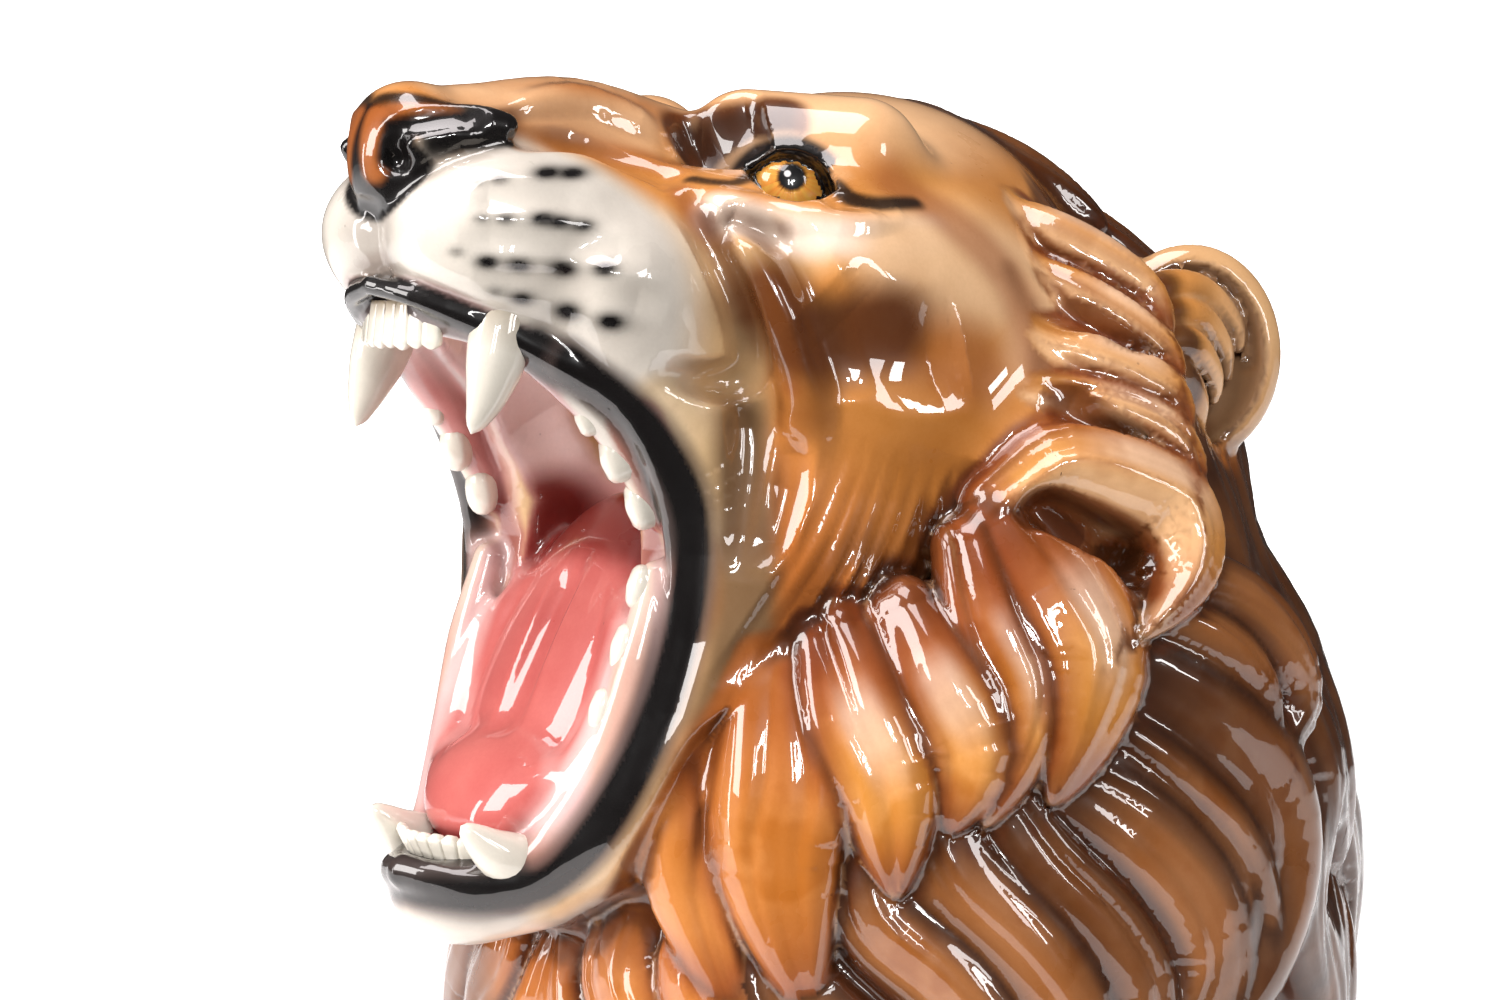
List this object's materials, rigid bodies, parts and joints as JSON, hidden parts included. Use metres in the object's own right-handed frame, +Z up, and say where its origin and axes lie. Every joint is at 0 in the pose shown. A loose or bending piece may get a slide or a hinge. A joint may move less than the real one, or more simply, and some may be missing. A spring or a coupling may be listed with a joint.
{
  "type": "ceramic lion bust",
  "caption": "Glazed ceramic bust of a roaring lion, its head thrown back and its mouth wide open, with a ruff and mane of swept locks, cut flat below to stand on a table.",
  "frame": {"origin": "on the neck's upright axis, at the flat underside", "axes": "+Z up, the lion faces -Y, its left side is +X"},
  "size_m": [0.3282, 0.3853, 0.3412],
  "materials": {
    "glazed_ceramic": "hand-painted ceramic under a thick clear gloss glaze"
  },
  "bodies": {
    "root": {"lion_bust": "glazed_ceramic"}
  },
  "joints": []
}
